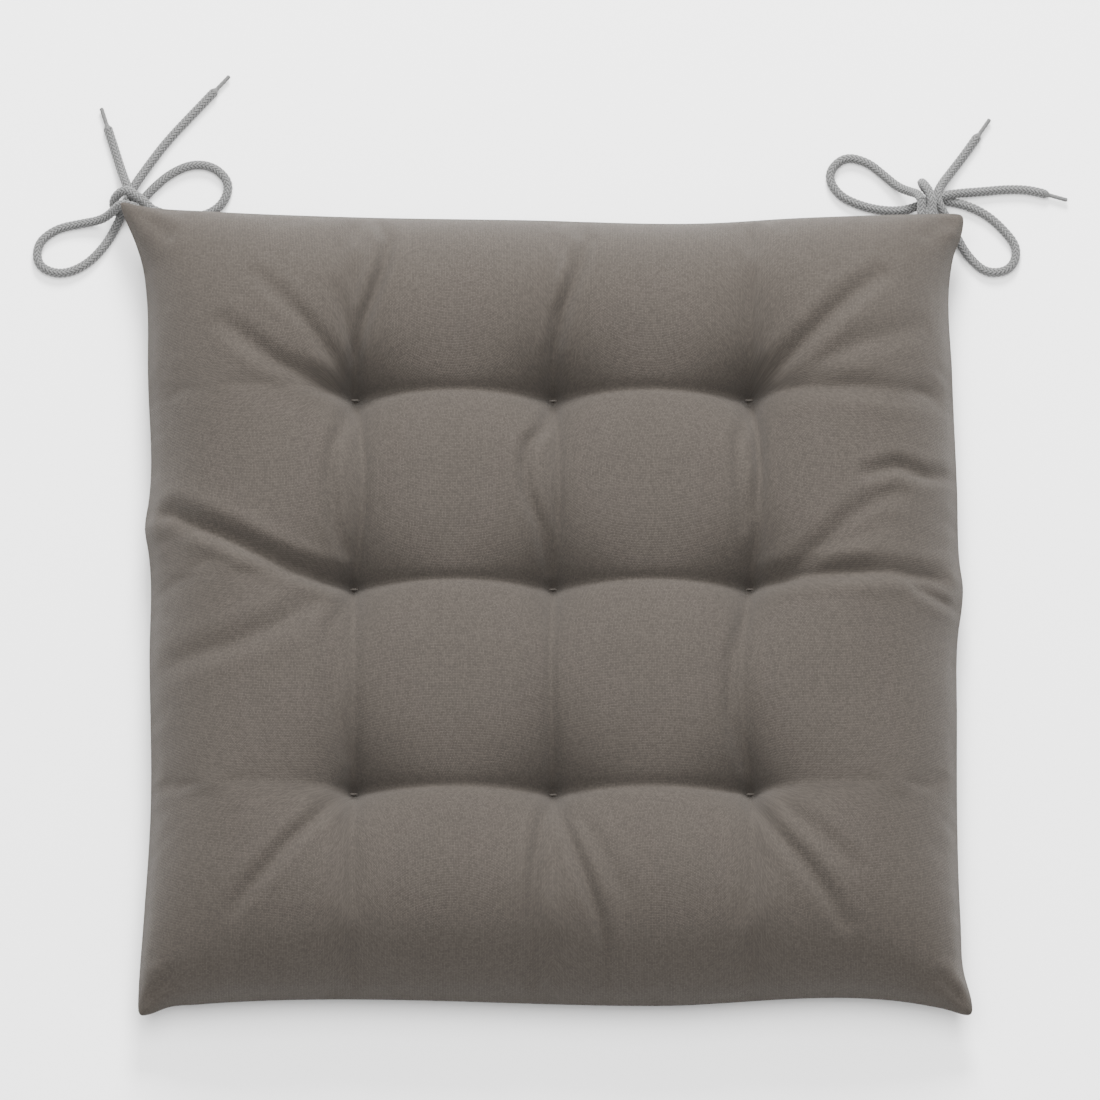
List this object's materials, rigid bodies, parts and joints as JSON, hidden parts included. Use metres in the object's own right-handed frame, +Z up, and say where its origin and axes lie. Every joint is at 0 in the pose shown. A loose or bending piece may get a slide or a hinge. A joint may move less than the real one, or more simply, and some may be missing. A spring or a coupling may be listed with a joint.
{
  "type": "chair seat pad",
  "caption": "Square tufted chair seat pad with a knife-edge seam, thread tufts in a grid and a cord tie, knotted in a bow, at each back corner.",
  "frame": {"origin": "centre of the underside, on the surface that the pad lies on", "axes": "+Z up through the pad's thickness, +Y towards the back edge with the ties, +X to the right"},
  "size_m": [0.5164, 0.4826, 0.0546],
  "materials": {
    "cover_fabric": "matt taupe plain weave",
    "filling_fibre": "white polyester fibre",
    "stitch_thread": "taupe twisted thread",
    "tie_cord": "light grey round braid",
    "cord_tip": "braid sealed to a hard grey point"
  },
  "bodies": {
    "pad": {"top_cover": "cover_fabric", "bottom_cover": "cover_fabric", "filling": "filling_fibre", "tuft_thread_front_left": "stitch_thread", "tuft_thread_front_middle": "stitch_thread", "tuft_thread_front_right": "stitch_thread", "tuft_thread_centre_left": "stitch_thread", "tuft_thread_centre_middle": "stitch_thread", "tuft_thread_centre_right": "stitch_thread", "tuft_thread_back_left": "stitch_thread", "tuft_thread_back_middle": "stitch_thread", "tuft_thread_back_right": "stitch_thread", "seam_thread": "stitch_thread", "closing_thread": "stitch_thread", "tie_left_anchor": "tie_cord", "tie_right_anchor": "tie_cord"},
    "tie_left": {"tie_left_strand_a": "tie_cord", "tie_left_strand_b": "tie_cord", "tie_left_tip_a": "cord_tip", "tie_left_tip_b": "cord_tip"},
    "tie_right": {"tie_right_strand_a": "tie_cord", "tie_right_strand_b": "tie_cord", "tie_right_tip_a": "cord_tip", "tie_right_tip_b": "cord_tip"}
  },
  "joints": [
    {"name": "tie_left_swing", "type": "hinge", "parent": "pad", "child": "tie_left", "pos_m": [-0.206, 0.206, 0.018], "axis": [0, 0, 1], "range_deg": [0, 30]},
    {"name": "tie_right_swing", "type": "hinge", "parent": "pad", "child": "tie_right", "pos_m": [0.186, 0.20753, 0.018], "axis": [0, 0, 1], "range_deg": [-30, 0]}
  ]
}
